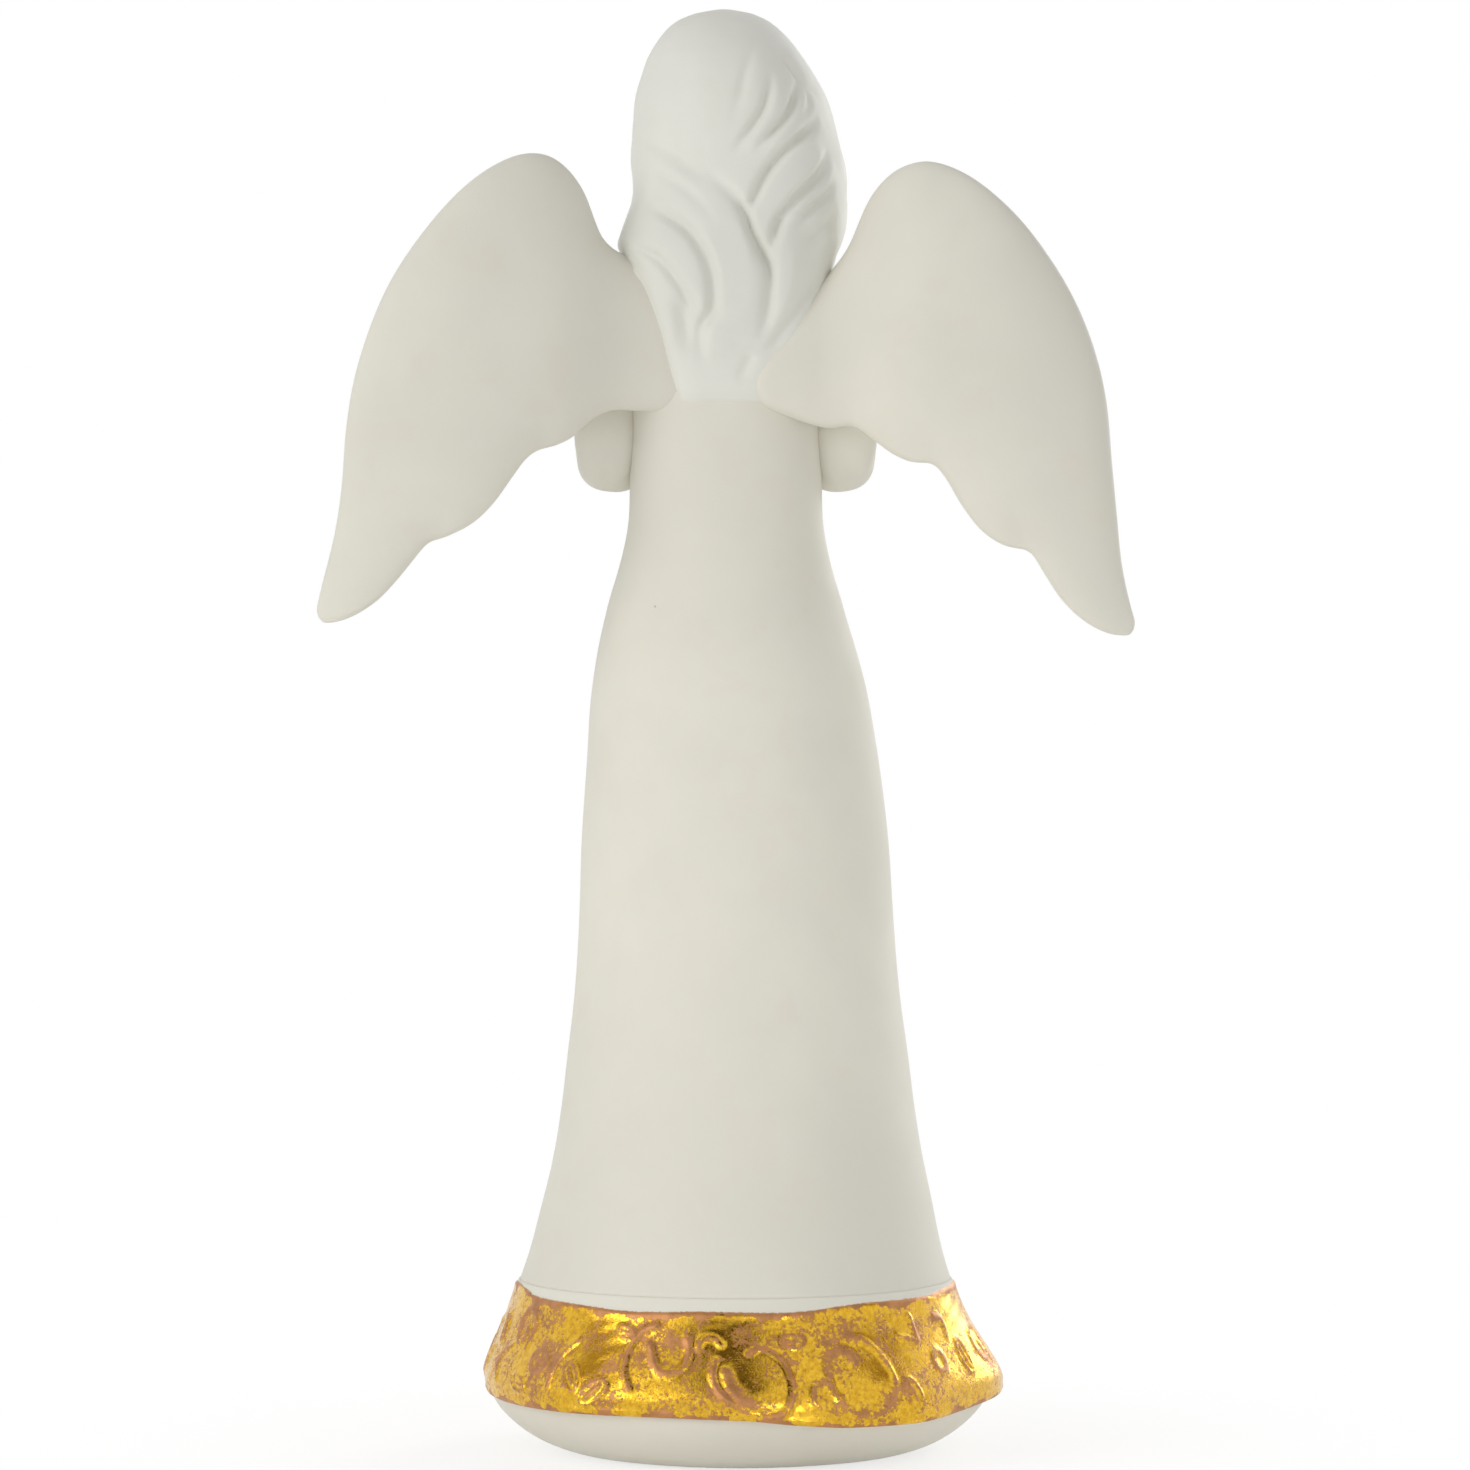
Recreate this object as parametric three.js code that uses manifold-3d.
// A cast-resin angel figurine, in the pieces it is glued up from: a hollow gown, an embossed hem ring,
// a rounded foot with a felt pad, a head, a fall of hair, two wings, two sleeved arms and two hands,
// held by steel pins. The figure faces -Y and stands on Z = 0, with its left hand towards +X. The origin
// is the centre of the felt pad's underside.
import * as THREE from "three";
import { LoftGeometry } from "three/addons/geometries/LoftGeometry.js";
import { mergeVertices } from "three/addons/utils/BufferGeometryUtils.js";
import Module from "manifold-3d";

const wasm = await Module();
wasm.setup();

// Driving dimensions, in millimetres
const FELT_THICKNESS = 1.0;
const FELT_RADIUS = 25;
const FOOT_TOP = 9.3; // seam between the foot and the hem ring
const HEM_TOP = 27.2; // seam between the hem ring and the gown
const SPIGOT_TOP = 31.2; // top of the hem ring's lip, which locates the gown
const CAVITY_TOP = 138; // the gown is hollow below this and solid above it
const NECKLINE = 187.5;
const CHEST_X = 2.4; // the torso stands a little to the figure's left of the base's centre
const WALL = 4; // resin thickness of the hollow castings
const GLUE = 0.25; // gap that the glue fills between two castings
const LOBES = 5; // soft flutes round the flared hem
const LOBE_DEPTH = 0.5;
const LEFT_WING_X = 2; // each wing's outline is drawn out from its own line
const RIGHT_WING_X = 1.7;
const RIGHT_WING_DROP = 1.7; // the right wing is set a little lower than the left
const PIN_RADIUS = 1.0;
const DOWEL_RADIUS = 1.5;
const HOLE_CLEARANCE = 0.12;
const PIN_END_GAP = 0.5; // a hole is this much deeper than its pin at each end

const LEFT = 1;
const RIGHT = -1;

const RESIN = new THREE.MeshStandardMaterial({ color: 0xe6e2d6, roughness: 0.75, metalness: 0 });
const GOLD_LEAF = new THREE.MeshStandardMaterial({ color: 0xc9952c, roughness: 0.35, metalness: 0.9 });
const FELT = new THREE.MeshStandardMaterial({ color: 0xd8d2c4, roughness: 1, metalness: 0 });
const STEEL = new THREE.MeshStandardMaterial({ color: 0x9a9a9c, roughness: 0.35, metalness: 1 });

// ---- curves and sections ------------------------------------------------------------------------

// A smooth function through (place, value) pairs, held at its end values past its ends.
function smooth(pairs) {
  const places = pairs.map(([place]) => place);
  const values = pairs.map(([, value]) => value);
  const curve = new THREE.CubicInterpolant(places, values, 1);
  return (place) => curve.evaluate(THREE.MathUtils.clamp(place, places[0], places.at(-1)))[0];
}

// Evenly spaced numbers from first to last, both included.
function steps(first, last, count) {
  return Array.from({ length: count }, (_, i) => first + ((last - first) * i) / (count - 1));
}

// A level elliptical section at height z. swell(turn) adds to its half sizes round the turn.
function levelSection(x, y, z, halfWidth, halfDepth, corners, swell = () => 0) {
  return steps(0, 2 * Math.PI, corners + 1)
    .slice(0, corners)
    .map((turn) => {
      const extra = swell(turn);
      return new THREE.Vector3(
        x + (halfWidth + extra) * Math.cos(turn),
        y + (halfDepth + extra) * Math.sin(turn),
        z,
      );
    });
}

// ---- solids -------------------------------------------------------------------------------------

function solidOf(geometry) {
  const { attributes, index } = geometry;
  const bare = new THREE.BufferGeometry().setAttribute("position", attributes.position).setIndex(index);
  const merged = mergeVertices(bare, 1e-4);
  return new wasm.Manifold(
    new wasm.Mesh({
      numProp: 3,
      vertProperties: merged.attributes.position.array,
      triVerts: new Uint32Array(merged.index.array),
    }),
  );
}

function geometryOf(solid) {
  const mesh = solid.getMesh();
  return new THREE.BufferGeometry()
    .setAttribute("position", new THREE.BufferAttribute(mesh.vertProperties, 3))
    .setIndex(new THREE.BufferAttribute(mesh.triVerts, 1));
}

function loft(sections) {
  return solidOf(new LoftGeometry(sections, { capStart: true, capEnd: true }));
}

// The biggest of the bodies that a cut leaves, so that slivers are dropped.
function largest(solid) {
  return solid.decompose().reduce((a, b) => (a.volume() > b.volume() ? a : b));
}

function ball(centre, radius) {
  return solidOf(new THREE.SphereGeometry(radius, 14, 8).translate(...centre));
}

// A round bar from one point to another, with its own radius at each end.
function bar(from, to, startRadius, endRadius, sides = 14) {
  const start = new THREE.Vector3(...from);
  const end = new THREE.Vector3(...to);
  const along = end.clone().sub(start);
  const upright = new THREE.Vector3(0, 1, 0);
  const geometry = new THREE.CylinderGeometry(endRadius, startRadius, along.length(), sides)
    .applyQuaternion(new THREE.Quaternion().setFromUnitVectors(upright, along.normalize()))
    .translate(...start.add(end).multiplyScalar(0.5));
  return solidOf(geometry);
}

// ---- gown: torso and skirt in one hollow casting ------------------------------------------------

const leanX = smooth([
  [10, 0.2], [17, 0.8], [25, 0.9], [32, 0.8], [44, 0.5], [60, 0.6], [75, 0.8], [90, 0.9], [105, 1.15],
  [120, 1.85], [135, 2.5], [150, CHEST_X], [170, CHEST_X], [190, CHEST_X],
]);
const leanY = smooth([
  [10, 0], [30, 0], [60, 0.3], [90, 0.8], [118, 1.2], [135, 0.9], [150, 0.4], [170, -0.2], [188, 1],
]);
const gownHalfWidth = smooth([
  [27, 34.2], [39, 30.9], [55, 28], [71, 26.1], [95, 24.5], [111, 23], [119, 22], [128, 20.2],
  [138, 17.4], [147, 15.5], [165, 15.2], [173, 16.3], [178, 16.8], [182, 14.8], [185, 10.5], [188, 6.6],
]);
const gownHalfDepth = smooth([
  [27, 34.2], [39, 30.7], [55, 27], [71, 24.6], [95, 22.2], [119, 18.8], [128, 17], [138, 14.4],
  [147, 12.7], [165, 12.5], [173, 12.6], [178, 11.2], [182, 9.2], [185, 7.6], [188, 6],
]);

// The gown's outer form between two heights, grown outwards by grow, or shrunk where grow is negative.
function gownForm(heights, grow = 0, corners = 32) {
  return loft(
    heights.map((z) =>
      levelSection(leanX(z), leanY(z), z, gownHalfWidth(z) + grow, gownHalfDepth(z) + grow, corners),
    ),
  );
}

const skirtHeights = steps(HEM_TOP, 160, 15);
const chestHeights = steps(164, NECKLINE, 9);
const gownOutside = gownForm([...skirtHeights, ...chestHeights]);
const gownClear = gownForm([...skirtHeights.slice(-4), ...chestHeights, NECKLINE + GLUE], GLUE + 0.1, 24);

function makeGown(holes) {
  const cavity = gownForm([HEM_TOP - 1, SPIGOT_TOP, ...steps(45, CAVITY_TOP, 7)], -WALL, 24);
  return holes.reduce((solid, hole) => solid.subtract(hole), gownOutside.subtract(cavity));
}

// ---- hem ring: the flared band that carries the embossing and the gold leaf ---------------------

const HEM_UNDERSIDE = FOOT_TOP + 0.1;
const hemRadius = smooth([
  [HEM_UNDERSIDE, 40.1], [10.2, 40.6], [11.6, 40.8], [13.8, 40.3], [17, 38.7], [20.2, 37], [23.3, 35.6],
  [27, 34.3],
]);
const hemInnerRadius = smooth([[FOOT_TOP, 35], [20, 31.5], [26, 27.8], [SPIGOT_TOP, 27.2]]);

function makeHemRing() {
  const flare = (z) => THREE.MathUtils.smoothstep(HEM_TOP - z, 2, HEM_TOP - FOOT_TOP);
  const band = (z) =>
    levelSection(leanX(z), leanY(z), z, hemRadius(z), hemRadius(z), 50, (turn) =>
      LOBE_DEPTH * flare(z) * Math.cos(LOBES * turn + 0.6),
    );
  const skirt = loft([HEM_UNDERSIDE, 10.2, 11.6, 13.8, 17, 20.2, 23.3, HEM_TOP - 0.2].map(band));
  const spigot = gownForm([20, HEM_TOP - 1, SPIGOT_TOP], -WALL - GLUE, 24);
  const inside = loft(
    steps(FOOT_TOP - 1, SPIGOT_TOP + 1, 5).map((z) =>
      levelSection(leanX(z), leanY(z), z, hemInnerRadius(z), hemInnerRadius(z), 28),
    ),
  );
  return skirt.add(spigot).subtract(inside);
}

// ---- foot and felt ------------------------------------------------------------------------------

const VENT_RADIUS = 4; // lets gas out when the foot closes the hollow gown
const FOOT_SPIGOT_TOP = 13;

// A ring-shaped profile round the vent: felt recess, rounded underside, seam, spigot.
function makeFoot() {
  const recess = FELT_RADIUS + 0.3;
  const profile = [
    [VENT_RADIUS, FELT_THICKNESS + 0.2], [recess, FELT_THICKNESS + 0.2], [recess, 0.35], [26.4, 0.3],
    [30.6, 1.3], [34.4, 3.4], [37.4, 5.9], [39.3, 8.2], [39.6, FOOT_TOP], [33, FOOT_TOP],
    [32.2, FOOT_SPIGOT_TOP], [VENT_RADIUS, FOOT_SPIGOT_TOP], [VENT_RADIUS, FELT_THICKNESS + 0.2],
  ].map(([radius, z]) => new THREE.Vector2(radius, z));
  return solidOf(new THREE.LatheGeometry(profile, 40).rotateX(Math.PI / 2));
}

function makeFeltPad() {
  const disc = new THREE.CylinderGeometry(FELT_RADIUS, FELT_RADIUS, FELT_THICKNESS, 40);
  return solidOf(disc.rotateX(Math.PI / 2).translate(0, 0, FELT_THICKNESS / 2));
}

// ---- head ---------------------------------------------------------------------------------------

const NECK_BOTTOM = 183;
const headLeanX = smooth([[192, 1.5], [225.5, 2.7]]);
const headHalfWidth = smooth([
  [192.5, 3], [194.5, 5.4], [198, 8.4], [202, 10.5], [207, 11.8], [213, 12.2], [218, 11.2], [222, 8.8],
  [225, 4.4],
]);
const headHalfDepth = smooth([
  [192.5, 3], [194.5, 6.4], [198, 9.6], [202, 11.9], [207, 13.4], [213, 13.8], [218, 12.8], [222, 10.2],
  [225, 5.6],
]);
const headCentreY = smooth([[192.5, -8.5], [195, -7], [198, -5], [202, -3.6], [213, -1.6], [225, 0.4]]);

function headForm(grow = 0) {
  const skull = loft(
    [192.5, 194.5, 198, 202, 207, 213, 218, 222, 225].map((z) =>
      levelSection(headLeanX(z), headCentreY(z), z, headHalfWidth(z) + grow, headHalfDepth(z) + grow, 24),
    ),
  );
  const neck = bar([CHEST_X, 1.2, NECK_BOTTOM - grow], [1.8, -0.8, 202], 5 + grow, 4.8 + grow, 20);
  return skull.add(neck);
}

// ---- hair: one casting that caps the skull and falls between the wings --------------------------

const hairHalfWidth = smooth([
  [165.5, 5], [168, 7], [174, 10], [180, 12.8], [186, 15.4], [191.6, 17.2], [198, 17.1], [204.3, 16.6],
  [210.6, 15.3], [217, 13.7], [220, 12.5], [223.3, 10.4], [226.2, 7], [228, 2],
]);
const hairHalfDepth = smooth([
  [165.5, 3.5], [168, 5], [174, 7.4], [180, 9.6], [186, 12.2], [191.6, 15.4], [198, 17.8], [204.3, 18.4],
  [210.6, 17.8], [217, 16], [220, 14.4], [223.3, 11.6], [226.2, 7.6], [228, 2],
]);
const hairCentreX = smooth([
  [165.5, 4.2], [174, 3.4], [186, 2.2], [191.6, 1.8], [198, 0.8], [204.3, 0.75], [213.8, 1.5], [220, 2.4],
  [228, 3.2],
]);
const hairCentreY = smooth([
  [165.5, 11.4], [168, 10.8], [174, 9.6], [180, 8.2], [186, 6.4], [191.6, 4], [198, 2.4], [204.3, 1.6],
  [228, 1.4],
]);

function makeHair(neighbours) {
  const heights = [165.5, 168, ...steps(173, 220, 11), 223.3, 226.2, 228];
  const mass = loft(
    heights.map((z) =>
      levelSection(hairCentreX(z), hairCentreY(z), z, hairHalfWidth(z), hairHalfDepth(z), 28),
    ),
  );
  const faceOpening = solidOf(
    new THREE.SphereGeometry(1, 20, 12).scale(9.8, 9.5, 16).translate(headLeanX(203), -15.5, 203),
  );
  return largest([faceOpening, ...neighbours].reduce((solid, other) => solid.subtract(other), mass));
}

// ---- wings: thick pillowed castings with scalloped trailing edges -------------------------------

// (distance out from the spine, height) of a wing's two edges, from the root to the tip
const leadingEdge = [
  [5, 167], [8.6, 173.5], [13.5, 181.2], [18, 189.2], [21.4, 197], [24.5, 201.4], [29.4, 203.6],
  [35.8, 202.2], [42.5, 196.6], [48.6, 189], [53.5, 180.8], [57, 171.8], [58.8, 163], [59.6, 154],
  [60.7, 146], [62.3, 138], [63.6, 131.6],
];
const trailingEdge = [
  [5.6, 164.8], [9, 163.2], [14, 162.4], [17.6, 162.8], [21.5, 161.2], [25.6, 157.9], [29, 156.8],
  [31.6, 155.8], [34.6, 151.2], [39, 145.9], [43.4, 143.4], [46.4, 142.2], [49.6, 137.8], [54.6, 133.2],
  [59.6, 130.6], [62.4, 130.2],
];
const wingSetBack = smooth([[5, 11.8], [12, 12.8], [20, 15.4], [32, 19.4], [44, 21.2], [56, 20], [64, 18]]);
const wingHalfThickness = smooth([
  [0, 3.4], [0.1, 5], [0.3, 4.4], [0.55, 3.9], [0.8, 2.8], [0.97, 1.2], [1, 0.7],
]);

function wingForm({ side, spineX, drop }, grow = 0) {
  const edgeCurve = (edge) =>
    new THREE.CatmullRomCurve3(edge.map(([out, z]) => new THREE.Vector3(out, 0, z)), false, "centripetal");
  const leading = edgeCurve(leadingEdge);
  const trailing = edgeCurve(trailingEdge);
  const corners = steps(0, 2 * Math.PI, 17).slice(0, 16);
  const sections = steps(0, 0.995, 32).map((share) => {
    const top = leading.getPointAt(share);
    const bottom = trailing.getPointAt(share);
    const middle = top.clone().add(bottom).multiplyScalar(0.5);
    const reach = top.clone().sub(middle);
    reach.setLength(reach.length() + grow);
    const thickness = wingHalfThickness(share) + grow;
    const section = corners.map((turn) => {
      const point = middle.clone().addScaledVector(reach, Math.sin(turn));
      const y = wingSetBack(point.x) + thickness * Math.cos(turn);
      return new THREE.Vector3(spineX + side * point.x, y, point.z - drop);
    });
    return side === LEFT ? section : section.reverse();
  });
  return loft(sections);
}

// ---- arms and hands -----------------------------------------------------------------------------

const SHOULDER = [15.6, 0.4, 179.6]; // (out from the spine, y, z)
const ELBOW = [18.9, 0.2, 157];
const CUFF = [6.6, -17.6, 165.2];
const WRIST_INSIDE = [8.6, -14.9, 163.9];
const WRIST_OUTSIDE = [2.6, -19.6, 167.6];

const placed = (side, [out, y, z]) => [CHEST_X + side * out, y, z];

function wristForm(side, grow = 0) {
  return bar(placed(side, WRIST_INSIDE), placed(side, WRIST_OUTSIDE), 2.1 + grow, 1.9 + grow, 16);
}

function makeArm(side, holes) {
  const shoulder = placed(side, SHOULDER);
  const elbow = placed(side, ELBOW);
  const sleeve = ball(shoulder, 5)
    .add(bar(shoulder, elbow, 5, 4.8))
    .add(ball(elbow, 4.9))
    .add(bar(elbow, placed(side, CUFF), 4.7, 4.9));
  return largest([gownClear, ...holes].reduce((solid, cut) => solid.subtract(cut), sleeve));
}

// The hand stands on its wrist with the palm flat against the other hand.
const handWidth = smooth([[163.5, 1.4], [166, 1.9], [172, 1.8], [178, 1.4], [184, 0.7]]);
const handDepth = smooth([[163.5, 2.2], [166, 3.4], [172, 4], [178, 3.1], [184, 1]]);
const handCentreY = smooth([[163.5, -20], [172, -22.2], [178, -24], [184, -26]]);
const PALM_GAP = 0.15; // from the middle plane to each palm

function makeHand(side) {
  const sections = steps(163.5, 184, 9).map((z) => {
    const out = handWidth(z) + PALM_GAP;
    return levelSection(CHEST_X + side * out, handCentreY(z), z, handWidth(z), handDepth(z), 20);
  });
  const middlePlane = new THREE.BoxGeometry(8, 40, 60).translate(CHEST_X - side * (4 - PALM_GAP), -20, 175);
  return loft(sections).add(wristForm(side)).subtract(solidOf(middlePlane));
}

// ---- pins ---------------------------------------------------------------------------------------

// Each pin runs between two points. Its hole is a little wider and a little deeper.
function pinAndHole(from, to, radius) {
  const start = new THREE.Vector3(...from);
  const end = new THREE.Vector3(...to);
  const extra = end.clone().sub(start).setLength(PIN_END_GAP);
  const holeStart = start.clone().sub(extra).toArray();
  const holeEnd = end.clone().add(extra).toArray();
  const holeRadius = radius + HOLE_CLEARANCE;
  return { pin: bar(from, to, radius, radius), hole: bar(holeStart, holeEnd, holeRadius, holeRadius) };
}

const neckDowel = pinAndHole([CHEST_X, 1.2, 176], [CHEST_X - 0.2, 0.6, 194], DOWEL_RADIUS);

function pinsOf({ side, drop }) {
  const between = (from, to) => pinAndHole(placed(side, from), placed(side, to), PIN_RADIUS);
  return {
    lowerWing: between([10, 4, 168.5 - drop], [10, 13.5, 168.5 - drop]),
    upperWing: between([14, 2, 175.5 - drop], [14, 13.5, 175.5 - drop]),
    shoulder: between([8.5, 0.2, 173], [19, 0.2, 173]),
  };
}

// ---- assembly -----------------------------------------------------------------------------------

const angel = new THREE.Group();

function addPiece(name, solid, material) {
  const mesh = new THREE.Mesh(geometryOf(solid), material);
  mesh.name = name;
  angel.add(mesh);
}

const sides = [
  { name: "left", side: LEFT, spineX: LEFT_WING_X, drop: 0 },
  { name: "right", side: RIGHT, spineX: RIGHT_WING_X, drop: RIGHT_WING_DROP },
].map((each) => ({ ...each, pins: pinsOf(each) }));

const headClear = headForm(GLUE);
const pinHoles = sides.flatMap(({ pins }) => Object.values(pins).map(({ hole }) => hole));

addPiece("gown", makeGown([headClear, neckDowel.hole, ...pinHoles]), RESIN);
addPiece("hem_ring", makeHemRing(), GOLD_LEAF);
addPiece("foot", makeFoot(), RESIN);
addPiece("felt_pad", makeFeltPad(), FELT);
addPiece("head", headForm().subtract(neckDowel.hole), RESIN);
addPiece("neck_dowel", neckDowel.pin, STEEL);

const hairNeighbours = [headClear, gownClear];
for (const each of sides) {
  const { name, side, pins } = each;
  const wing = largest(
    wingForm(each).subtract(gownClear).subtract(pins.lowerWing.hole).subtract(pins.upperWing.hole),
  );
  const arm = makeArm(side, [wristForm(side, GLUE), pins.shoulder.hole]);
  addPiece(`${name}_wing`, wing, RESIN);
  addPiece(`${name}_arm`, arm, RESIN);
  addPiece(`${name}_hand`, makeHand(side), RESIN);
  addPiece(`${name}_wing_lower_pin`, pins.lowerWing.pin, STEEL);
  addPiece(`${name}_wing_upper_pin`, pins.upperWing.pin, STEEL);
  addPiece(`${name}_shoulder_pin`, pins.shoulder.pin, STEEL);
  hairNeighbours.push(wingForm(each, GLUE), ball(placed(side, SHOULDER), 5 + GLUE));
}
addPiece("hair", makeHair(hairNeighbours), RESIN);

export default angel;
